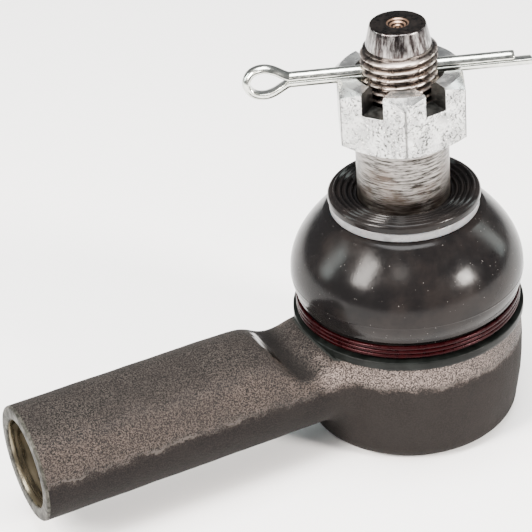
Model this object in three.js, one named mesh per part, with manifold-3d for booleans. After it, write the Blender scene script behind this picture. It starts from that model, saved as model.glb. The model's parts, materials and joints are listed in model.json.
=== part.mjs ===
// Outer tie rod end: a ball joint in a forged socket with a female-threaded shank.
// Millimetres, +Z up. The origin is at the centre of the base, on the socket's axis.
// The shank runs along -X. The ball stud stands up along +Z.

import * as THREE from 'three';
import { mergeVertices } from 'three/addons/utils/BufferGeometryUtils.js';
import Module from 'manifold-3d';

const wasm = await Module();
wasm.setup();

// ---- Driving dimensions ----------------------------------------------------

const RUNNING_GAP = 0.1;          // radial gap between pieces that turn on each other
const SEAT_GAP = 0.05;            // gap between pieces that rest on each other
const ROUND = 48;                 // sides of a large round piece
const SMALL_ROUND = 32;           // sides of a small round piece

// Ball and stud
const BALL_R = 10.5;
const BALL_FLAT_R = 2.5;          // flat under the ball
const NECK_R = 5.6;
const SWING_CONE = 25.3;          // degrees, the widest that the stud leans
const NECK_CLEARANCE = 0.2;       // between the leaning neck and the mouth
const STUD_R = 7.3;               // plain body above the neck
const STUD_SHOULDER_H = 0.7;      // chamfer between the plain body and the thread
const THREAD_R = 5.9;             // M12 x 1.25, crests
const THREAD_OVER_NUT = 4.0;
const TIP_BASE_R = 5.0;           // truncated cone on the tip
const TIP_TOP_R = 4.3;
const TIP_H = 3.5;
const DIMPLE_R = 1.7;
const DIMPLE_DEPTH = 0.9;

// Seats, spring and cover
const SEAT_WALL = 2.0;            // the ball race's wall
const SEAT_SPLIT_SHARE = 0.57;    // where the two seats part, under the ball's centre
const SEAT_FLOOR = 0.6;           // from the lower seat's underside to the ball's lowest point
const LOWER_SEAT_HOLE_R = 4.5;
const SPRING_THICK = 0.8;
const SPRING_RISE = 0.45;         // how far the disc spring's inner edge stands up
const SPRING_IN_R = 6.2;
const SPRING_MARGIN = 0.9;        // from the spring's rim to the seat's
const COVER_THICK = 1.7;
const COVER_LEDGE = 1.6;          // the shoulder that the cover's rim bears on
const COVER_RIM_WIDTH = 4.6;
const COVER_DISH_SLOPE = 1.6;
const SWAGED_LIP_H = 1.3;         // the housing's rim, rolled in under the cover
const SWAGED_LIP_LAP = 1.4;

// Housing
const SOCKET_WALL = 5.8;          // at its thickest, level with the ball
const BASE_FILLET = 2.8;
const BODY_TAPER = 0.9;           // the flank draws in by this towards the base
const BODY_MID_Z = 12.5;
const WAIST_DROP = 0.25;          // just under the machined collar
const COLLAR_LAND = 0.25;         // how far the collar stands out past the flank
const COLLAR_H = 1.5;
const COLLAR_OVER_BALL = 4.8;
const BOSS_WALL = 3.0;            // the boss that the boot's bead grips
const BOSS_OVER_BALL = 11.0;
const BOSS_CHAMFER = 0.5;

// Shank
const BORE_R = 6.2;               // M14 x 1.5 female thread, minor radius
const SHANK_WALL = 3.1;
const SHANK_Z = 13.8;
const SHANK_LENGTH = 67.7;        // from the stud's axis to the end face
const SHANK_CHAMFER = 0.6;
const BORE_DEPTH = 38;
const RELIEF_STEP = 0.9;          // counterbore at the mouth, past the thread
const RELIEF_DEPTH = 4.5;
const DRILL_POINT_H = 3.4;
const SADDLE_DEPTH = 1.7;         // floor of the groove, below the collar's top
const SADDLE_WIDTH = 7.5;         // from the collar to the shank's full section

// Boot and its rings
const BOOT_WALL = 1.8;
const BEAD_WALL = 1.6;
const BEAD_H = 3.0;
const BULGE_OVER_BEAD = 1.4;
const BULGE_EDGE_DROP = 0.8;
const BULGE_EDGE_H = 0.5;         // the bulge's lower edge above the bead
const BULGE_RISE = 3.85;          // from the bead to the widest ring
const CROWN_H = 10.9;             // from the widest ring up to the neck
const CROWN_SHOULDER = 1.9;
const BOOT_NECK_WALL = 2.9;
const BOOT_NECK_DEPTH = 1.3;      // how far the neck's bore runs below the crown
const CROWN_UNDERCUT = 2.4;       // the inner crown's edge inside the outer one
const LIP_WIDTH = 1.76;
const LIP_H = 1.8;
const LIP_DISH = 0.9;             // how far the lip slopes down to the stud
const UPPER_RING_H = 1.5;
const UPPER_RING_WALL = 1.45;
const WIRE_R = 0.36;
const WIRE_PITCH = 0.76;
const WIRE_TURNS = 2.5;

// Castle nut and split pin
const ARM_GAP = 9.9;              // between the boot's lip and the nut
const NUT_AF = 19;                // across flats
const NUT_H = 10.5;
const NUT_CHAMFER_H = 0.8;
const NUT_FACE_SHARE = 0.93;      // flat end circle over the width across flats
const NUT_COUNTERSINK_GAP = 0.15; // the countersink underneath clears the stud's body by this
const NUT_ANGLE = -25;            // degrees about the stud, from +X to the slot on the pin
const SLOT_DEPTH = 3.7;
const SLOTS = 6;
const PIN_ANGLE = -22;            // degrees about the stud, from +X to the pin's points
const PIN_ROLL = -10;             // degrees about the pin's own line
const PIN_R = 1.2;
const PIN_HOLE_CLEARANCE = 0.3;
const PIN_SLOT_CLEARANCE = 0.6;
const PIN_OVER_SLOT = 2.5;        // from the slots' floor to the pin's underside
const LEG_GAP = 0.12;
const UPPER_LEG_PAST = 7.9;       // how far each leg stands out past the nut
const LOWER_LEG_PAST = 10.7;
const EYE_PAST = 7.7;             // from the nut to where the legs part
const EYE_LENGTH = 5.6;
const EYE_HALF_H = 1.6;

// ---- Values worked out from them -------------------------------------------

// The stack under the ball, from the base up.
const COVER_UNDER_Z = SWAGED_LIP_H + SEAT_GAP;
const COVER_TOP_Z = COVER_UNDER_Z + COVER_THICK;
const SPRING_Z = COVER_TOP_Z + SEAT_GAP;
const LOWER_SEAT_Z = SPRING_Z + SPRING_THICK + SPRING_RISE + SEAT_GAP;
const BALL_Z = LOWER_SEAT_Z + SEAT_FLOOR + BALL_R;

// Radii outwards from the ball.
const SEAT_IN_R = BALL_R + RUNNING_GAP;
const SEAT_OUT_R = BALL_R + SEAT_WALL;
const SEAT_SPLIT_Z = BALL_Z - SEAT_SPLIT_SHARE * BALL_R;
const SPRING_OUT_R = SEAT_OUT_R - SPRING_MARGIN;
const CAVITY_R = SEAT_OUT_R + RUNNING_GAP;
const COVER_R = CAVITY_R + COVER_LEDGE;
const COVER_RIM_R = COVER_R - COVER_RIM_WIDTH;
const COVER_FLAT_R = COVER_RIM_R - COVER_DISH_SLOPE;
const SWAGED_LIP_R = COVER_R - SWAGED_LIP_LAP;
const BODY_MID_R = CAVITY_R + SOCKET_WALL;
const BODY_LOW_R = BODY_MID_R - BODY_TAPER;
const WAIST_R = BODY_MID_R - WAIST_DROP;
const COLLAR_R = BODY_MID_R + COLLAR_LAND;
const BOSS_R = CAVITY_R + BOSS_WALL;
const COLLAR_TOP_Z = BALL_Z + COLLAR_OVER_BALL;
const BOSS_TOP_Z = BALL_Z + BOSS_OVER_BALL;

// How far out the leaning neck reaches at a height above the ball's centre.
const CONE = THREE.MathUtils.degToRad(SWING_CONE);
const neckReach = (height) => height * Math.tan(CONE) + NECK_R / Math.cos(CONE);
const MOUTH_R = neckReach(0.73 * BALL_R) + NECK_CLEARANCE;
const MOUTH_TOP_R = neckReach(BOSS_OVER_BALL) + NECK_CLEARANCE;
const UPPER_SEAT_RISE = BALL_R * Math.cos(Math.asin(NECK_R / BALL_R) + CONE);

const SHANK_R = BORE_R + SHANK_WALL;
const RELIEF_R = BORE_R + RELIEF_STEP;
const SADDLE_Z = COLLAR_TOP_Z - SADDLE_DEPTH;
const SADDLE_OUT_R = COLLAR_R + SADDLE_WIDTH;

// Boot: the bead grips the boss, the neck grips the stud.
const BEAD_IN_R = BOSS_R + RUNNING_GAP;
const BEAD_R = BEAD_IN_R + BEAD_WALL;
const BEAD_Z = COLLAR_TOP_Z + SEAT_GAP;
const BEAD_TOP_Z = BEAD_Z + BEAD_H;
const BULGE_R = BEAD_R + BULGE_OVER_BEAD;
const BULGE_EDGE_R = BULGE_R - BULGE_EDGE_DROP;
const BULGE_EDGE_Z = BEAD_TOP_Z + BULGE_EDGE_H;
const BULGE_Z = BEAD_TOP_Z + BULGE_RISE;
const BOOT_BORE_R = STUD_R + RUNNING_GAP;
const BOOT_NECK_R = BOOT_BORE_R + BOOT_NECK_WALL;
const CROWN_R = BOOT_NECK_R + CROWN_SHOULDER;
const CROWN_Z = BULGE_Z + CROWN_H;
const UPPER_RING_IN_R = BOOT_NECK_R + RUNNING_GAP;
const UPPER_RING_R = UPPER_RING_IN_R + UPPER_RING_WALL;
const UPPER_RING_Z = CROWN_Z + SEAT_GAP;
const LIP_UNDER_Z = UPPER_RING_Z + UPPER_RING_H + SEAT_GAP;
const LIP_R = BOOT_NECK_R + LIP_WIDTH;
const LIP_Z = LIP_UNDER_Z + LIP_H;

// The stud above the ball, with the nut and pin on it.
const NECK_STRAIGHT = (BOSS_OVER_BALL + NECK_R * Math.sin(CONE)) / Math.cos(CONE);
const NECK_TOP_Z = BALL_Z + NECK_STRAIGHT + NECK_CLEARANCE;
const STUD_BODY_Z = CROWN_Z - BOOT_NECK_DEPTH;
const NUT_Z = LIP_Z + ARM_GAP;
const THREAD_TOP_Z = NUT_Z + NUT_H + THREAD_OVER_NUT;
const TIP_BASE_Z = THREAD_TOP_Z + (THREAD_R - TIP_BASE_R) / 3;
const PIN_Z = NUT_Z + NUT_H - SLOT_DEPTH + PIN_OVER_SLOT + PIN_R;
const CROSS_HOLE_R = PIN_R + PIN_HOLE_CLEARANCE;
const SLOT_WIDTH = 2 * (PIN_R + PIN_SLOT_CLEARANCE);
const UPPER_LEG_END = NUT_AF / 2 + UPPER_LEG_PAST;
const LOWER_LEG_END = NUT_AF / 2 + LOWER_LEG_PAST;
const EYE_START = NUT_AF / 2 + EYE_PAST;

// ---- Shape helpers -----------------------------------------------------------

// Points on an arc about (x, z) in a profile, from one angle to another in degrees.
function arc(x, z, radius, from, to, steps) {
  const points = [];
  for (let i = 0; i <= steps; i += 1) {
    const angle = THREE.MathUtils.degToRad(from + (to - from) * i / steps);
    points.push([x + radius * Math.cos(angle), z + radius * Math.sin(angle)]);
  }
  return points;
}

// Height above a circle's centre where it reaches a given distance from the axis.
function rise(radius, distance) {
  return Math.sqrt(radius * radius - distance * distance);
}

// Turns a profile of [radius, height] points about +Z.
function turned(profile, sides = ROUND) {
  const points = profile.map(([r, z]) => new THREE.Vector2(r, z));
  return new THREE.LatheGeometry(points, sides).rotateX(Math.PI / 2);
}

// A turned piece with a hole through it: the profile closes on itself.
function turnedRing(profile, sides = ROUND) {
  return turned([...profile, profile[0]], sides);
}

// Sweeps an outline along a curve in space.
function swept(outline, path, steps) {
  const shape = new THREE.Shape(outline.map(([x, y]) => new THREE.Vector2(x, y)));
  return new THREE.ExtrudeGeometry(shape, { steps, bevelEnabled: false, extrudePath: path });
}

function toSolid(geometry) {
  const bare = geometry.clone();
  bare.deleteAttribute('normal');
  bare.deleteAttribute('uv');
  const merged = mergeVertices(bare, 1e-5);
  return new wasm.Manifold(new wasm.Mesh({
    numProp: 3,
    vertProperties: new Float32Array(merged.attributes.position.array),
    triVerts: new Uint32Array(merged.index.array),
  }));
}

function toGeometry(solid) {
  const mesh = solid.getMesh();
  const geometry = new THREE.BufferGeometry();
  geometry.setAttribute('position', new THREE.BufferAttribute(mesh.vertProperties, 3));
  geometry.setIndex(new THREE.BufferAttribute(mesh.triVerts, 1));
  geometry.computeVertexNormals();
  return geometry;
}

// ---- Housing -----------------------------------------------------------------

// The forged socket: base fillet, swelling flank, machined collar and boss.
function socketBody() {
  const collarLow = COLLAR_TOP_Z - COLLAR_H;
  const flank = new THREE.SplineCurve([
    new THREE.Vector2(BODY_LOW_R, BASE_FILLET),
    new THREE.Vector2((BODY_LOW_R + BODY_MID_R) / 2 + 0.2, (BASE_FILLET + BODY_MID_Z) / 2),
    new THREE.Vector2(BODY_MID_R, BODY_MID_Z),
    new THREE.Vector2(WAIST_R, collarLow),
  ]).getPoints(9).map((p) => [p.x, p.y]);
  return turned([
    [0, 0],
    ...arc(BODY_LOW_R - BASE_FILLET, BASE_FILLET, BASE_FILLET, -90, 0, 6).slice(0, -1),
    ...flank,
    [COLLAR_R, collarLow + COLLAR_R - WAIST_R],
    [COLLAR_R, COLLAR_TOP_Z],
    [BOSS_R, COLLAR_TOP_Z],
    [BOSS_R, BOSS_TOP_Z - BOSS_CHAMFER],
    [BOSS_R - BOSS_CHAMFER, BOSS_TOP_Z],
    [0, BOSS_TOP_Z],
  ]);
}

// What is hollow inside the socket: cover seat, seat bore, dome and flared mouth.
function socketCavity() {
  const past = 1;
  const mouthAngle = THREE.MathUtils.radToDeg(Math.acos(MOUTH_R / CAVITY_R));
  const flare = (MOUTH_TOP_R - MOUTH_R) / (BOSS_TOP_Z - BALL_Z - rise(CAVITY_R, MOUTH_R));
  return turned([
    [0, -past],
    [SWAGED_LIP_R, -past],
    [SWAGED_LIP_R, SWAGED_LIP_H],
    [COVER_R + RUNNING_GAP, SWAGED_LIP_H],
    [COVER_R + RUNNING_GAP, COVER_TOP_Z + SEAT_GAP],
    [CAVITY_R, COVER_TOP_Z + SEAT_GAP],
    ...arc(0, BALL_Z, CAVITY_R, 0, mouthAngle, 6),
    [MOUTH_TOP_R + flare * past, BOSS_TOP_Z + past],
    [0, BOSS_TOP_Z + past],
  ]);
}

// Lays a piece turned about +Z along the shank, its base at the shank's end face.
function alongShank(geometry) {
  return geometry.rotateY(Math.PI / 2).translate(-SHANK_LENGTH, 0, SHANK_Z);
}

function shankBar() {
  return alongShank(turned([
    [0, 0],
    [SHANK_R - SHANK_CHAMFER, 0],
    [SHANK_R, SHANK_CHAMFER],
    [SHANK_R, SHANK_LENGTH],
    [0, SHANK_LENGTH],
  ], SMALL_ROUND));
}

function shankBore() {
  const past = 1;
  return alongShank(turned([
    [0, -past],
    [RELIEF_R, -past],
    [RELIEF_R, RELIEF_DEPTH],
    [BORE_R, RELIEF_DEPTH + (RELIEF_R - BORE_R)],
    [BORE_R, BORE_DEPTH],
    [0, BORE_DEPTH + DRILL_POINT_H],
  ], SMALL_ROUND));
}

// The groove round the collar that lets the boot and its ring sit over the shank.
function saddleGroove() {
  const clear = SHANK_Z + SHANK_R + 5;
  const fillet = COLLAR_TOP_Z - SADDLE_Z;
  return turnedRing([
    [BOSS_R, clear],
    [BOSS_R, COLLAR_TOP_Z],
    [COLLAR_R, COLLAR_TOP_Z],
    [COLLAR_R + fillet, SADDLE_Z],
    [SADDLE_OUT_R - 2 * fillet, SADDLE_Z],
    [SADDLE_OUT_R, SADDLE_Z + fillet],
    [SADDLE_OUT_R + fillet, SHANK_Z + SHANK_R],
    [SADDLE_OUT_R + fillet, clear],
  ]);
}

function housingGeometry() {
  const bar = toSolid(shankBar()).subtract(toSolid(saddleGroove()));
  const forged = toSolid(socketBody()).add(bar);
  return toGeometry(forged.subtract(toSolid(socketCavity())).subtract(toSolid(shankBore())));
}

// ---- Inside the socket ---------------------------------------------------------

// Pressed steel disc: its rim lies in the swaged groove, its middle is flush with the base.
function endCoverGeometry() {
  return turned([
    [0, 0],
    [COVER_FLAT_R, 0],
    [COVER_RIM_R, COVER_UNDER_Z],
    [COVER_R, COVER_UNDER_Z],
    [COVER_R, COVER_TOP_Z],
    [COVER_RIM_R - 0.6, COVER_TOP_Z],
    [COVER_FLAT_R - 0.6, COVER_THICK],
    [0, COVER_THICK],
  ]);
}

// Coned disc spring: the outer edge bears on the cover, the inner edge on the lower seat.
function preloadSpringGeometry() {
  return turnedRing([
    [SPRING_OUT_R, SPRING_Z],
    [SPRING_OUT_R, SPRING_Z + SPRING_THICK],
    [SPRING_IN_R, SPRING_Z + SPRING_THICK + SPRING_RISE],
    [SPRING_IN_R, SPRING_Z + SPRING_RISE],
  ]);
}

function lowerSeatGeometry() {
  const drop = BALL_Z - SEAT_SPLIT_Z + SEAT_GAP;
  const low = -THREE.MathUtils.radToDeg(Math.acos(LOWER_SEAT_HOLE_R / SEAT_IN_R));
  const high = -THREE.MathUtils.radToDeg(Math.asin(drop / SEAT_IN_R));
  return turnedRing([
    [LOWER_SEAT_HOLE_R, LOWER_SEAT_Z],
    [SEAT_OUT_R, LOWER_SEAT_Z],
    [SEAT_OUT_R, SEAT_SPLIT_Z - SEAT_GAP],
    ...arc(0, BALL_Z, SEAT_IN_R, high, low, 4),
  ]);
}

function upperSeatGeometry() {
  const low = -THREE.MathUtils.radToDeg(Math.asin((BALL_Z - SEAT_SPLIT_Z) / SEAT_IN_R));
  const high = THREE.MathUtils.radToDeg(Math.asin(UPPER_SEAT_RISE / SEAT_IN_R));
  const outHigh = THREE.MathUtils.radToDeg(Math.asin(UPPER_SEAT_RISE / SEAT_OUT_R));
  return turnedRing([
    [SEAT_OUT_R, SEAT_SPLIT_Z],
    ...arc(0, BALL_Z, SEAT_OUT_R, 0, outHigh, 3),
    ...arc(0, BALL_Z, SEAT_IN_R, high, low, 7),
  ]);
}

// ---- Ball stud -------------------------------------------------------------------

// Rolls a piece made along +X about the pin's line, and turns it to where the pin points.
function pinPlaced(geometry) {
  const rolled = geometry.rotateX(THREE.MathUtils.degToRad(PIN_ROLL));
  return rolled.translate(0, 0, PIN_Z).rotateZ(THREE.MathUtils.degToRad(PIN_ANGLE));
}

function crossHole() {
  const length = 4 * THREAD_R;
  const drill = new THREE.CylinderGeometry(CROSS_HOLE_R, CROSS_HOLE_R, length, 20);
  return pinPlaced(drill.rotateZ(Math.PI / 2));
}

function ballStudGeometry() {
  const flatAngle = -THREE.MathUtils.radToDeg(Math.acos(BALL_FLAT_R / BALL_R));
  const neckAngle = THREE.MathUtils.radToDeg(Math.acos(NECK_R / BALL_R));
  const tipTop = TIP_BASE_Z + TIP_H;
  const blank = turned([
    [0, BALL_Z - rise(BALL_R, BALL_FLAT_R)],
    ...arc(0, BALL_Z, BALL_R, flatAngle, neckAngle, 13),
    [NECK_R, NECK_TOP_Z],
    [STUD_R, STUD_BODY_Z],
    [STUD_R, NUT_Z - SEAT_GAP - STUD_SHOULDER_H],
    [THREAD_R + 0.5, NUT_Z - SEAT_GAP],
    [THREAD_R, NUT_Z - SEAT_GAP],
    [THREAD_R, THREAD_TOP_Z],
    [TIP_BASE_R, TIP_BASE_Z],
    [TIP_TOP_R, tipTop],
    [DIMPLE_R, tipTop],
    [0, tipTop - DIMPLE_DEPTH],
  ], SMALL_ROUND);
  return toGeometry(toSolid(blank).subtract(toSolid(crossHole())));
}

// ---- Boot and its rings ------------------------------------------------------------

// Points on the boot's bulge, drawing in by the square of the height above its widest ring.
function crown(wide, narrow, height, steps) {
  const points = [];
  for (let i = 0; i <= steps; i += 1) {
    const share = i / steps;
    points.push([wide - (wide - narrow) * share * share, BULGE_Z + height * share]);
  }
  return points;
}

function bootOuter() {
  return [
    [BEAD_IN_R, BEAD_Z],
    [BEAD_R, BEAD_Z],
    [BEAD_R, BEAD_TOP_Z],
    [BULGE_EDGE_R, BULGE_EDGE_Z],
    [BULGE_R - BULGE_EDGE_DROP / 4, (BULGE_EDGE_Z + BULGE_Z) / 2],
    ...crown(BULGE_R, CROWN_R, CROWN_H, 7),
    [BOOT_NECK_R, CROWN_Z],
    [BOOT_NECK_R, LIP_UNDER_Z],
    [LIP_R, LIP_UNDER_Z],
    [LIP_R, LIP_Z - 0.3],
    [LIP_R - 0.3, LIP_Z],
  ];
}

function bootInner() {
  const wide = BULGE_R - BOOT_WALL;
  const narrow = CROWN_R - CROWN_UNDERCUT;
  return [
    [BOOT_BORE_R, LIP_Z - LIP_DISH],
    [BOOT_BORE_R, STUD_BODY_Z + SEAT_GAP],
    ...crown(wide, narrow, CROWN_H - BOOT_WALL, 5).reverse(),
    [wide - BULGE_EDGE_DROP, BULGE_EDGE_Z + 0.6],
    [BEAD_IN_R, BEAD_TOP_Z],
  ];
}

function bootGeometry() {
  return turnedRing([...bootOuter(), ...bootInner()]);
}

function upperRingGeometry() {
  return turnedRing([
    [UPPER_RING_IN_R, UPPER_RING_Z],
    [UPPER_RING_R, UPPER_RING_Z],
    [UPPER_RING_R, UPPER_RING_Z + UPPER_RING_H],
    [UPPER_RING_IN_R, UPPER_RING_Z + UPPER_RING_H],
  ]);
}

// The wire ring's centre line: a close helix round the bead.
class RingHelix extends THREE.Curve {
  getPoint(t, target = new THREE.Vector3()) {
    const angle = 2 * Math.PI * WIRE_TURNS * t;
    const radius = BEAD_R + RUNNING_GAP + WIRE_R;
    const height = BEAD_Z + WIRE_R + 0.1 + WIRE_PITCH * WIRE_TURNS * t;
    return target.set(radius * Math.cos(angle), radius * Math.sin(angle), height);
  }
}

function lowerRingGeometry() {
  const section = arc(0, 0, WIRE_R, 0, 360, 6).slice(0, -1);
  return swept(section, new RingHelix(), Math.round(WIRE_TURNS * 32));
}

// ---- Castle nut and split pin --------------------------------------------------------

function hexagon(acrossFlats, height) {
  const corner = acrossFlats / 2 / Math.cos(Math.PI / 6);
  const outline = arc(0, 0, corner, 30, 330, 5);
  const shape = new THREE.Shape(outline.map(([x, y]) => new THREE.Vector2(x, y)));
  return new THREE.ExtrudeGeometry(shape, { depth: height, bevelEnabled: false });
}

function castleNutGeometry() {
  const top = NUT_Z + NUT_H;
  const faceR = NUT_AF / 2 * NUT_FACE_SHARE;
  const cornerR = NUT_AF / 2 / Math.cos(Math.PI / 6) + 0.2;
  const boreR = THREAD_R + RUNNING_GAP;
  const sinkR = STUD_R + NUT_COUNTERSINK_GAP;
  const turnedBody = toSolid(turnedRing([
    [boreR, NUT_Z + (sinkR - boreR) / 2],
    [sinkR, NUT_Z],
    [faceR, NUT_Z],
    [cornerR, NUT_Z + NUT_CHAMFER_H],
    [cornerR, top - NUT_CHAMFER_H],
    [faceR, top],
    [boreR, top],
  ], SMALL_ROUND));
  let nut = turnedBody.intersect(toSolid(hexagon(NUT_AF, 2 * top)));
  for (let i = 0; i < SLOTS / 2; i += 1) {
    const slot = new THREE.BoxGeometry(2 * NUT_AF, SLOT_WIDTH, 2 * SLOT_DEPTH);
    const angle = i * 2 * Math.PI / SLOTS;
    nut = nut.subtract(toSolid(slot.translate(0, 0, top).rotateZ(angle)));
  }
  return toGeometry(nut).rotateZ(THREE.MathUtils.degToRad(NUT_ANGLE));
}

// Half-round wire: one leg in, round the eye, and one leg out, flat sides together.
function splitPinGeometry() {
  const half = LEG_GAP / 2;
  const eye = EYE_START + EYE_LENGTH;
  const leg = (end, side) => [
    [end, side * half],
    [end / 2, side * half],
    [0, side * half],
    [-EYE_START / 2, side * half],
    [-EYE_START + 1.5, side * half],
    [-EYE_START, side * (half + 0.1)],
    [-EYE_START - 2.2, side * EYE_HALF_H * 0.82],
    [-EYE_START - 3.7, side * EYE_HALF_H],
    [-eye + 0.6, side * EYE_HALF_H * 0.7],
  ];
  const route = [...leg(UPPER_LEG_END, 1), [-eye, 0], ...leg(LOWER_LEG_END, -1).reverse()];
  const path = new THREE.CatmullRomCurve3(
    route.map(([s, h]) => new THREE.Vector3(s, 0, h)),
    false,
    'centripetal',
  );
  const section = arc(0, 0, PIN_R, 90, 270, 5);
  return pinPlaced(swept(section, path, 84));
}

// ---- Assembly --------------------------------------------------------------------------

const STEEL_FORGED = { color: 0x6b625c, roughness: 0.6, metalness: 0.8 };
const STEEL_PRESSED = { color: 0x8b8b88, roughness: 0.45, metalness: 0.9 };
const STEEL_MACHINED = { color: 0xb5b2ae, roughness: 0.35, metalness: 1.0 };
const STEEL_SPRING = { color: 0x5c6066, roughness: 0.4, metalness: 0.9 };
const ZINC = { color: 0xc9cccb, roughness: 0.3, metalness: 1.0 };
const ZINC_YELLOW = { color: 0xc6c8ba, roughness: 0.3, metalness: 1.0 };
const RUBBER = { color: 0x1c1c1e, roughness: 0.45, metalness: 0.0 };
const RESIN = { color: 0xd9d4c4, roughness: 0.5, metalness: 0.0 };
const WHITE_PLASTIC = { color: 0xc8ccd2, roughness: 0.4, metalness: 0.0 };
const RED_LACQUER = { color: 0x6a1420, roughness: 0.25, metalness: 0.6 };

const PIECES = [
  ['housing', housingGeometry, STEEL_FORGED],
  ['end_cover', endCoverGeometry, STEEL_PRESSED],
  ['preload_spring', preloadSpringGeometry, STEEL_SPRING],
  ['lower_seat', lowerSeatGeometry, RESIN],
  ['upper_seat', upperSeatGeometry, RESIN],
  ['ball_stud', ballStudGeometry, STEEL_MACHINED],
  ['boot', bootGeometry, RUBBER],
  ['boot_upper_ring', upperRingGeometry, WHITE_PLASTIC],
  ['boot_lower_ring', lowerRingGeometry, RED_LACQUER],
  ['castle_nut', castleNutGeometry, ZINC],
  ['split_pin', splitPinGeometry, ZINC_YELLOW],
];

const tieRodEnd = new THREE.Group();
tieRodEnd.name = 'tie_rod_end';

for (const [name, makeGeometry, finish] of PIECES) {
  const mesh = new THREE.Mesh(makeGeometry(), new THREE.MeshStandardMaterial(finish));
  mesh.name = name;
  tieRodEnd.add(mesh);
}

export default tieRodEnd;
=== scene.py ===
"""Looks of the outer tie rod end: forging, rubber boot, ball stud, castle nut and split pin.

Lengths are in millimetres until a mesh is made, and +Z is up along the stud.
Every new piece is a surface worked out with numpy: rows of points, joined row to row.
"""

import json
import math

import bpy
import numpy as np
from mathutils import Matrix, Vector


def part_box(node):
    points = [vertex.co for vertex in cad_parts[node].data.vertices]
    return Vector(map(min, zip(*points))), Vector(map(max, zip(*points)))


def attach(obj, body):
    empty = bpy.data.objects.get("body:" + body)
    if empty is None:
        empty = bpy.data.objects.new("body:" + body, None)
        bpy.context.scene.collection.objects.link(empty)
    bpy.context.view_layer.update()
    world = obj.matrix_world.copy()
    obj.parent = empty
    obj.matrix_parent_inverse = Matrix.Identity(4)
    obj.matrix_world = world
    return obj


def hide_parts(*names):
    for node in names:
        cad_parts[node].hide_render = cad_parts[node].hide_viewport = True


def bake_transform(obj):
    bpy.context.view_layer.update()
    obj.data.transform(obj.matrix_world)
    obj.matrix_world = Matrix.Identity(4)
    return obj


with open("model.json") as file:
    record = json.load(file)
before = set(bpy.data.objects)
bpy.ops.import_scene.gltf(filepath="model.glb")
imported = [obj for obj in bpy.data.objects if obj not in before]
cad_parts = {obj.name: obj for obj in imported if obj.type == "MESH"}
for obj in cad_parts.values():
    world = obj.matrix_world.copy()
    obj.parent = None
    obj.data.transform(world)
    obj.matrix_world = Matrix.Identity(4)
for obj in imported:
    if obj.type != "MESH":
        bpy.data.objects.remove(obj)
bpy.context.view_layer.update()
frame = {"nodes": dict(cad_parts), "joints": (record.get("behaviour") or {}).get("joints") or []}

MM = 0.001
TURN = 2 * math.pi


def span(node):
    """Lowest and highest corner of a CAD node, in millimetres."""
    low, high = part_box(node)
    return np.array(low) / MM, np.array(high) / MM


# ---- Sizes: some worked out from the frame, the rest given ----------------------

HOUSING_LOW, HOUSING_HIGH = span("housing")
BOOT_LOW, BOOT_HIGH = span("boot")
NUT_LOW, NUT_HIGH = span("castle_nut")
UPPER_RING_LOW, UPPER_RING_HIGH = span("boot_upper_ring")
STUD_HIGH = span("ball_stud")[1]
COVER_HIGH = span("end_cover")[1]
BALL_Z = next(j["pos_m"][2] for j in frame["joints"] if j["name"] == "stud_swing") / MM
PIN_PULL = next(j["axis"] for j in frame["joints"] if j["name"] == "split_pin_slide")

# Socket, from the base up
COLLAR_R = HOUSING_HIGH[1]
COLLAR_TOP = BOOT_LOW[2] - 0.05
COLLAR_LOW = COLLAR_TOP - 1.5
WAIST_R = COLLAR_R - 0.5
BODY_MID_R = COLLAR_R - 0.25
BODY_LOW_R = BODY_MID_R - 0.9
BASE_FILLET = 2.8
BOSS_TOP = HOUSING_HIGH[2]
BOSS_R = 15.6
CAVITY_R = 12.6
MOUTH_R = 9.9
MOUTH_TOP_R = 11.6
COVER_R = COVER_HIGH[0]
COVER_TOP = COVER_HIGH[2]
SWAGED_LIP_R = COVER_R - 1.4
SWAGED_LIP_H = 1.3

# Shank
SHANK_END = -HOUSING_LOW[0]
SHANK_R = 9.3
SHANK_Z = 13.8
BORE_R = 6.2
BORE_MAJOR_R = 6.95
BORE_PITCH = 1.5
BORE_DEPTH = 38.0
RELIEF_R = 7.1
RELIEF_DEPTH = 4.5

# Stud
BALL_R = 10.5
BALL_FLAT_R = 2.5
NECK_R = 5.6
STUD_R = 7.3
THREAD_R = 5.9
THREAD_ROOT_R = 5.15
THREAD_PITCH = 1.25
TIP_TOP = STUD_HIGH[2]
TIP_BASE = TIP_TOP - 3.5

# Boot
BEAD_R = 17.3
BEAD_TOP = BOOT_LOW[2] + 3.0
BULGE_R = BOOT_HIGH[0]
BULGE_Z = BEAD_TOP + 3.85
CROWN_R = 12.2
CROWN_Z = UPPER_RING_LOW[2] - 0.05
LIP_TOP = BOOT_HIGH[2]
LIP_R = 12.06
BOOT_BORE_R = STUD_R + 0.1
BOOT_WALL = 1.8

# Nut and pin
NUT_AF = 19.0
NUT_CORNER_R = NUT_AF / 2 / math.cos(math.pi / 6)
NUT_BORE_R = 6.05
NUT_ANGLE = math.radians(-25)
SLOT_DEPTH = 3.7
SLOT_WIDTH = 3.6
PIN_R = 1.2
PIN_Z = NUT_HIGH[2]
PIN_ANGLE = math.atan2(-PIN_PULL[1], -PIN_PULL[0])
PIN_ROLL = math.radians(-10)


# ---- Shapes ---------------------------------------------------------------------


def arc(x, z, radius, first, last, steps):
    """Points on a circle about (x, z), from one angle in degrees to another."""
    angle = np.radians(np.linspace(first, last, steps + 1))
    return np.column_stack([x + radius * np.cos(angle), z + radius * np.sin(angle)])


def line(start, end, steps):
    """Evenly spaced points on a straight line, both ends included."""
    return np.linspace(start, end, steps + 1)


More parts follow.
